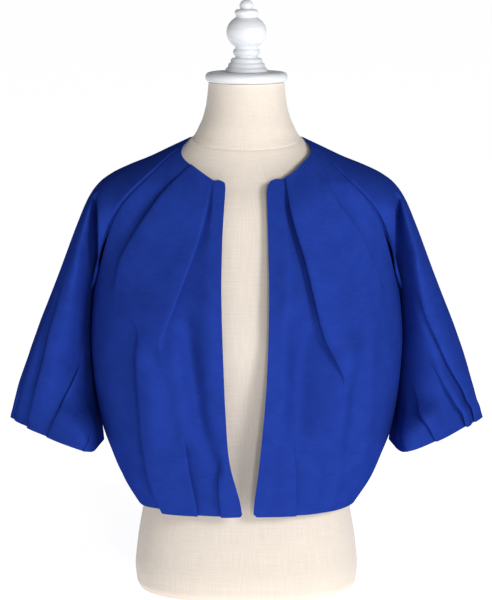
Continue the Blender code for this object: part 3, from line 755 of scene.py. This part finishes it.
# Radius of the rounded corner at the neckline and at the hem
LEFT_CORNERS = (7.0, 4.0)
front_seam = (SLEEVE["front_x"], SLEEVE["front_z"])
left_lines = [LEFT_EDGE, LEFT_HEM_PLEAT, LEFT_NECK_PLEAT, LEFT_SLEEVE_PLEAT]
left_crossings = [front_row(row, left_lines, *front_seam) for row in body_rows]
left_grid = panel_grid(left_crossings, LEFT_PLEATS, LEFT_FOLDS, FRONT_COUNTS, FRONT_SEWN, LEFT_CORNERS)
sewn_piece(
    "front_panel_left", left_grid, mirrored=False, solid="front_left")

# The wearer's right front: the same cloth, cut and seams with a fall of its own, made on the left and
# mirrored. A flat strip between two neckline pleats stands proud of the chest, a long step runs down to the
# hem beside it, and two more pleats draw in the hem.
RIGHT_EDGE = table("z across", [
    (107, 5), (123, 7), (140, 11), (167, 18), (228, 24),
    (275, 26), (333, 28), (384, 29), (434, 28), (498, 24),
])
RIGHT_HEM_PLEAT = table("z across", [
    (107, 29), (148, 31), (174, 31), (250, 34), (350, 37), (434, 36), (501, 32),
])
RIGHT_NECK_PLEAT = table("z across", [
    (107, 58), (126, 61), (169, 69), (207, 73), (238, 79), (270, 88), (292, 97),
    (310, 99), (344, 89), (387, 73), (428, 58), (469, 47), (502, 41),
])
RIGHT_SLEEVE_PLEAT = table("z across", [
    (107, 97), (130, 104), (158, 111), (190, 117), (238, 121), (270, 123), (305, 125), (330, 129),
    (350, 143), (368, 155), (388, 151), (411, 141), (430, 131), (457, 114), (493, 87), (517, 64),
])
RIGHT_PLEATS = table(PLEATS, [
    (530, 520, 0, 0, 0, 152, 184, 4.6, 2.8, 3.0, 1),
    (352, 292, 5.0, 3.0, 3.0, 178, 216, 4.8, 3.0, 3.2, -1),
    (412, 366, 7.0, 7.0, 4.2, 290, 346, 10.0, 11.0, 3.4, 1),
])
RIGHT_FOLDS = table(FOLDS, [
    (72, 350, 54, 205, 12, -12),
    (108, 305, 104, 190, 10, 3.5),
    (162, 345, 148, 130, 24, -5),
    (56, 228, 34, 160, 8, -5),
    (44, 400, 42, 250, 12, 3),
    (170, 330, 160, 190, 12, 2),
    (30, 215, 20, 130, 8, 2),
])
RIGHT_CORNERS = (3.0, 3.5)
right_lines = [RIGHT_EDGE, RIGHT_HEM_PLEAT, RIGHT_NECK_PLEAT, RIGHT_SLEEVE_PLEAT]
right_crossings = [front_row(row, right_lines, *front_seam) for row in body_rows]
right_grid = panel_grid(
    right_crossings, RIGHT_PLEATS, RIGHT_FOLDS, FRONT_COUNTS, FRONT_SEWN, RIGHT_CORNERS)
sewn_piece(
    "front_panel_right", right_grid, mirrored=True, solid="front_right")

# The raglan sleeves: each is cut in one of the same faille, from the neckline over the shoulder to the cuff,
# sewn along the raglan seams and the underarm, and pleated in at the cuff. With no arm to fill it, the cloth
# falls in before the armhole, and half as deep behind it.
CROWN_Y = 4.0

# How the front of a row leans out and down as the sleeve becomes a tube, as shares of its lead, and the depth
# of the underarm seam at which the back would have no lead left
FRONT_OUT = 0.07
FRONT_DROP = 0.15
BACK_LEAD_DEPTH = 55.0

# How far the cloth is drawn in beside the underarm, and the rows where that begins and where it ends
UNDERARM_IN = 9.0
DRAWN_IN_ROWS = (UNDERARM - 1, UNDERARM + 0.5)
LET_OUT_ROWS = (12, 15)

# The pressed front corner of the cuff: how sharp it is, the rows where it begins and where it turns out, how
# far it lies in above the cuff and out at it, its lift, how soon it loses the front's drop, and how far the
# cloth drops beside the crown
CUFF_CORNER = 7.0
CORNER_ROW = 13
CORNER_OUT_ROW = 14
CUFF_IN = 4.0
CUFF_OUT = 8.4
CUFF_LIFT = 6.5
CORNER_DROP_POWER = 1.4
CROWN_DROP = 6.0

# The fold that hangs from the shoulder point down the armhole, before and behind: the place of its inner edge
# and its depth, by level. The cloth rises again over a ramp towards the crown.
ARMHOLE = table("z edge_x depth", [
    (250, 186.0, 0), (300, 186.0, 9), (330, 185.0, 17), (350, 183.6, 22), (368, 182.0, 27), (388, 179.0, 31),
    (412, 177.6, 34), (440, 177.4, 33), (464, 178.0, 26), (478, 178.6, 16), (490, 179.0, 0),
])
# Widths of its inner edge and ramp, the ramp's share of the way to the crown, how far behind the sleeve's own
# edge the cloth may fall, how far from the crown and the seam the fold is whole, and the rows where it ends
ARMHOLE_EDGE = 3.0
ARMHOLE_RAMP = 27.0
ARMHOLE_LEAST_RAMP = 4.0
ARMHOLE_RAMP_SHARE = 0.9
ARMHOLE_BEHIND = 28.0
ARMHOLE_FROM_CROWN = 8.0
ARMHOLE_FROM_SEAM = 6.0
ARMHOLE_ENDS = (UNDERARM - 0.5, UNDERARM + 3.0)
BACK_ARMHOLE_EDGE = 16.0
BACK_ARMHOLE_DEPTH = 0.5

# Pleats drawn in at the cuff: the share of their height left where they are pressed, and the rows of that,
# the lower layer's depth as a share of the height, and the share of a space that half an open pleat may take
CUFF_PRESSED = 0.55
CUFF_PRESSED_ROWS = 1.5
CUFF_LOW = 0.6
PLEAT_SPACE_SHARE = 0.45

# Their places along the front (1) or back (-1) half of a row at the neckline, underarm, upper part, middle,
# lower part, above the cuff and at it, the rows where they begin and are full, and their height, reach and
# layer on top
PLACES = {
    "neck": 0, "underarm": UNDERARM, "upper": 10.5, "middle": 12.5, "lower": 14, "above": 15, "cuff": CUFF,
}
CUFFS = "side neck underarm upper middle lower above cuff row_open row_full height reach top"
LEFT_CUFF = table(CUFFS, [
    (1, 0.12, 0.10, 0.13, 0.20, 0.31, 0.408, 0.473, 14.0, 16.0, 3.0, 2.4, -1),
    (1, 0.24, 0.21, 0.25, 0.335, 0.464, 0.573, 0.629, 12.6, 14.6, 4.0, 3.0, -1),
    (1, 0.38, 0.34, 0.45, 0.576, 0.684, 0.795, 0.832, 11.6, 14.2, 5.6, 3.4, -1),
    (1, 0.50, 0.457, 0.575, 0.682, 0.779, 0.878, 0.90, 9.4, 10.6, 3.6, 3.2, -1),
    (1, 0.78, 0.73, 0.745, 0.775, 0.862, 0.942, 0.962, 9.8, 13.5, 3.4, 2.4, 1),
    (-1, 0.75, 0.75, 0.75, 0.75, 0.75, 0.75, 0.75, 10.0, 15.5, 4.0, 3.2, -1),
    (-1, 0.48, 0.48, 0.48, 0.48, 0.48, 0.48, 0.48, 10.0, 15.5, 3.6, 3.0, -1),
    (-1, 0.22, 0.24, 0.245, 0.25, 0.25, 0.26, 0.26, 10.5, 16.0, 3.2, 2.6, -1),
])
RIGHT_CUFF = table(CUFFS, [
    (1, 0.12, 0.11, 0.15, 0.22, 0.32, 0.42, 0.475, 13.8, 16.2, 2.8, 2.2, 1),
    (1, 0.30, 0.24, 0.28, 0.424, 0.536, 0.63, 0.679, 11.2, 12.8, 3.0, 3.0, 1),
    (1, 0.60, 0.623, 0.641, 0.667, 0.707, 0.786, 0.808, 7.8, 11.0, 5.8, 3.6, 1),
    (1, 0.78, 0.795, 0.795, 0.797, 0.834, 0.896, 0.914, 9.5, 12.5, 4.4, 3.0, 1),
    (1, 0.90, 0.91, 0.905, 0.905, 0.922, 0.952, 0.962, 10.5, 14.0, 3.0, 2.2, 1),
    (-1, 0.75, 0.75, 0.75, 0.75, 0.75, 0.75, 0.75, 10.0, 15.5, 4.0, 3.2, 1),
    (-1, 0.48, 0.48, 0.48, 0.48, 0.48, 0.48, 0.48, 10.0, 15.5, 3.6, 3.0, 1),
    (-1, 0.22, 0.24, 0.245, 0.25, 0.25, 0.26, 0.26, 10.5, 16.0, 3.2, 2.6, 1),
])

# Fineness of a sleeve: spaces between points from pleat to pleat, closer beside both sewn edges, samples
# along half a row, and the small steps that the slope of the cloth is taken over
SLEEVE_COUNTS = (20, 8, 7, 7, 7, 12, 9, 9, 9)
SLEEVE_SEWN = (1, 1)
SLEEVE_SAMPLES = 300
NEAR_ROW = 0.05
NEAR_ALONG = 0.4

# Rows where the raglan seams run out at the underarm, and how the cloth around them is eased smooth: over how
# many rows, from how far beside the seam, and in what steps
SEAM_ENDS = (UNDERARM - 0.1, UNDERARM + 0.2)
UNDERARM_EASED = 1.0
EASED_FROM_SEAM = (2, 14)
EASING_STEP = 0.5
EASING_TURNS = 60


def sleeve_line(row):
    """One whole sleeve row from front edge to back edge, the lengths along it and its front half's length."""
    now = {name: float(smooth(SLEEVE["row"], column, row)) for name, column in SLEEVE.items()}
    crown = np.array([now["crown_x"], CROWN_Y, now["crown_z"]])
    share = np.linspace(0, 1, SLEEVE_SAMPLES)[:, None]
    rest = 1 - share
    halves = []
    for side, x, z in ((-1, now["front_x"], now["front_z"]), (1, now["back_x"], now["back_z"])):
        if row >= UNDERARM:
            edge = np.array([x, now["edge_y"], z])
        else:
            angle = angle_at(np.array([x]), np.array([z]))
            angle = angle if side < 0 else math.pi - angle
            edge = around(BODY, angle, np.array([z]))[0]
        lead = now["lead"] * (1 if side < 0 else 1 - now["edge_y"] / BACK_LEAD_DEPTH)
        tube = ease(UNDERARM, CUFF, row) * lead if side < 0 else 0.0
        drawn_in = UNDERARM_IN * ease(*DRAWN_IN_ROWS, row) * (1 - ease(*LET_OUT_ROWS, row))
        sharp = ease(CORNER_ROW, CUFF, row) ** 2 if side < 0 else 0.0
        pull = 1 + CUFF_CORNER * sharp
        corner_out = ease(CORNER_OUT_ROW, CUFF, row) * (CUFF_OUT + CUFF_IN) - CUFF_IN
        out = FRONT_OUT * tube * (1 - sharp) + sharp * corner_out
        drop = FRONT_DROP * tube / pull ** CORNER_DROP_POWER - CUFF_LIFT * sharp
        leaning = np.array([out - drawn_in, side * lead, -drop])
        first = edge + now["along"] * (crown - edge) + leaning
        second = crown + np.array([0, side * now["level"], -CROWN_DROP * sharp])
        near_edge = edge * rest ** 3 + 3 * pull * first * share * rest ** 2
        near_crown = 3 * second * share ** 2 * rest + crown * share ** 3
        halves.append((near_edge + near_crown) / (1 + 3 * (pull - 1) * share * rest ** 2))
    line = np.concatenate([halves[0], halves[1][-2::-1]])
    length = lengths(line)
    return line, length, length[SLEEVE_SAMPLES - 1]


def on_line(line, length, at):
    """Points at the given lengths along a line, straight on beyond its ends."""
    inside = np.stack([np.interp(at, length, line[:, axis]) for axis in range(3)], -1)
    first = (line[1] - line[0]) / (length[1] - length[0])
    last = (line[-1] - line[-2]) / (length[-1] - length[-2])
    before, after = np.minimum(at, 0), np.maximum(at - length[-1], 0)
    return inside + before[:, None] * first + after[:, None] * last


def fallen_in(row, base, past_crown, from_seam, crown_x):
    """How far a sleeve row falls in at the armhole: backwards before the crown and forwards behind it."""
    edge = smooth(ARMHOLE["z"], ARMHOLE["edge_x"], base[:, 2])
    aside = base[:, 0] - edge
    inner = np.where(past_crown < 0, ARMHOLE_EDGE, BACK_ARMHOLE_EDGE)
    ramp = np.clip(ARMHOLE_RAMP_SHARE * (crown_x - edge), ARMHOLE_LEAST_RAMP, ARMHOLE_RAMP)
    depth = np.maximum(smooth(ARMHOLE["z"], ARMHOLE["depth"], base[:, 2]), 0)
    depth *= ease(0, 1, 1 + aside / inner) * (1 - ease(0, 1, aside / ramp))
    depth *= np.where(past_crown < 0, 1.0, BACK_ARMHOLE_DEPTH)
    depth *= ease(0, ARMHOLE_FROM_CROWN, np.abs(past_crown)) * ease(0, ARMHOLE_FROM_SEAM, from_seam)
    depth *= 1 - ease(*ARMHOLE_ENDS, row)
    before = np.minimum(depth, np.maximum(base[0, 1] + ARMHOLE_BEHIND - base[:, 1], 0))
    behind = np.minimum(depth, np.maximum(base[:, 1] - base[-1, 1] + ARMHOLE_BEHIND, 0))
    return np.where(past_crown < 0, before, -behind)


def eased_down(points, share):
    """Eases out sudden turns of the cloth from row to row, by a share at each point."""
    for step in range(EASING_TURNS):
        between = 0.5 * (points[:-2] + points[2:])
        points[1:-1] += EASING_STEP * share[1:-1, :, None] * (between - points[1:-1])
    return points


def sleeve_grid(cuffs):
    """Points and cut places of a sleeve on the wearer's left, row by row from its front edge to its back."""
    points, cut_places, seam_free = [], [], []
    down = 0.0
    for row in np.linspace(0, CUFF, CUFF * FINE_ROWS + 1):
        line, length, front_length = sleeve_line(row)
        back_length = length[-1] - front_length
        above = sleeve_line(max(row - NEAR_ROW, 0))
        below = sleeve_line(min(row + NEAR_ROW, CUFF))
        centres = []
        for number in range(len(cuffs["side"])):
            fold = row_of(cuffs, number)
            shares = np.array([fold[place] for place in PLACES])
            share = smooth(np.array(list(PLACES.values()), float), shares, row)
            centres.append(share * front_length if fold["side"] > 0 else length[-1] - share * back_length)
        spaces = np.diff([0, *centres, length[-1]])
        halves = np.minimum(OPEN_HALF, PLEAT_SPACE_SHARE * np.minimum(spaces[:-1], spaces[1:]))
        places = [(np.zeros(1), np.zeros(1))]
        for number in range(len(cuffs["side"])):
            fold = row_of(cuffs, number)
            folded = ease(fold["row_open"], fold["row_full"], row)
            height = fold["height"] * (1 - (1 - CUFF_PRESSED) * ease(CUFF - CUFF_PRESSED_ROWS, CUFF, row))
            along, lift = pleat_across(
                folded, height, CUFF_LOW * height, fold["reach"], fold["top"], halves[number])
            places.append((centres[number] + along, lift))
        places.append((length[-1:], np.zeros(1)))
        sewn = ease(0, SEAM_CLOSED, row) * (1 - ease(*SEAM_ENDS, row))
        along, lift = spread(places, SLEEVE_COUNTS, SLEEVE_SEWN)
        along, lift = into_seams(along, lift, length[-1], (sewn, sewn))
        base = on_line(line, length, along)
        across = on_line(line, length, along + NEAR_ALONG) - on_line(line, length, along - NEAR_ALONG)
        share = along / length[-1]
        lower = on_line(below[0], below[1] / below[1][-1], share)
        upper = on_line(above[0], above[1] / above[1][-1], share)
        normal = np.cross(lower - upper, across)
        normal /= np.linalg.norm(normal, axis=1, keepdims=True)
        seam = beside_seam(along) + beside_seam(length[-1] - along)
        down = down if not points else down + np.linalg.norm(base[len(base) // 2] - last_middle)
        last_middle = base[len(base) // 2]
        lift = lift + handling(along, down) * (1 - np.minimum(seam, 1))
        laid = base + normal * lift[:, None]
        from_seam = np.minimum(along, length[-1] - along)
        laid[:, 1] += fallen_in(row, base, along - front_length, from_seam, line[SLEEVE_SAMPLES - 1, 0])
        points.append(laid)
        at_underarm = np.exp(-(((row - UNDERARM) / UNDERARM_EASED) ** 2))
        seam_free.append(ease(*EASED_FROM_SEAM, from_seam) * at_underarm)
        cut_places.append(np.stack([along - front_length, np.full(len(along), -down)], -1))
    return eased_down(np.array(points), np.array(seam_free)), np.array(cut_places)


left_sleeve_grid = sleeve_grid(LEFT_CUFF)
sewn_piece(
    "sleeve_raglan_left", left_sleeve_grid, mirrored=False, solid="sleeve_left")
right_sleeve_grid = sleeve_grid(RIGHT_CUFF)
sewn_piece(
    "sleeve_raglan_right", right_sleeve_grid, mirrored=True, solid="sleeve_right")

# The studio: a wide pale floor, an even white surround, one large soft light at the right of the camera and a
# smaller, weaker one close beside the camera. The camera looks slightly down at the chest.
FLOOR_HALF = 40.0
FLOOR_BELOW = 0.0005
FLOOR_WHITE = "#FAFAFA"
bpy.ops.object.select_all(action="DESELECT")
bpy.ops.mesh.primitive_plane_add(size=2 * FLOOR_HALF, location=(0, 0, -FLOOR_BELOW))
floor = bpy.context.object
floor.name = "studio_floor"
floor_paint, tree, shader = new_material("matt_white_floor", roughness=0.95, specular=0.1)
shader.inputs["Base Color"].default_value = linear(FLOOR_WHITE)
shader.inputs["Emission Color"].default_value = (1, 1, 1, 1)
shader.inputs["Emission Strength"].default_value = 0.8
floor.data.materials.append(floor_paint)

world = bpy.data.worlds.new("white_surround")
world.use_nodes = True
world.node_tree.nodes["Background"].inputs["Color"].default_value = (1, 1, 1, 1)
world.node_tree.nodes["Background"].inputs["Strength"].default_value = 0.2
bpy.context.scene.world = world

LAMPS = table("x y z size power", [
    (1.9, -2.6, 1.5, 0.9, 54),
    (0.4, -3.0, 0.5, 0.3, 18),
])
LAMP_AIM_Z = 0.36
for number in range(len(LAMPS["x"])):
    lamp = row_of(LAMPS, number)
    bpy.ops.object.light_add(type="AREA", location=(lamp["x"], lamp["y"], lamp["z"]))
    light = bpy.context.object
    light.name = f"soft_lamp_{number + 1}"
    light.data.size = lamp["size"]
    light.data.energy = lamp["power"]
    aim = np.array([0, 0, LAMP_AIM_Z]) - np.array([lamp["x"], lamp["y"], lamp["z"]])
    light.rotation_euler = (
        math.acos(-aim[2] / np.linalg.norm(aim)), 0, math.atan2(aim[1], aim[0]) - math.pi / 2)

CAMERA_AIM_Z = 0.353
CAMERA_DISTANCE = 3.2367
CAMERA_ELEVATION = math.radians(8.6)
# The photograph's frame is 600 pixels high, and the object stands half a pixel right of its middle
FRAME_HEIGHT = 600
FRAME_SHIFT = -0.5
view = bpy.data.cameras.new("view")
view.sensor_fit = "VERTICAL"
view.sensor_height = 36
view.lens = 161.8
view.shift_x = FRAME_SHIFT / FRAME_HEIGHT
camera = bpy.data.objects.new("camera", view)
camera.location = (
    0,
    -CAMERA_DISTANCE * math.cos(CAMERA_ELEVATION),
    CAMERA_AIM_Z + CAMERA_DISTANCE * math.sin(CAMERA_ELEVATION),
)
camera.rotation_euler = (math.pi / 2 - CAMERA_ELEVATION, 0, 0)
bpy.context.scene.collection.objects.link(camera)
bpy.context.scene.camera = camera
bpy.context.scene.view_settings.view_transform = "Standard"
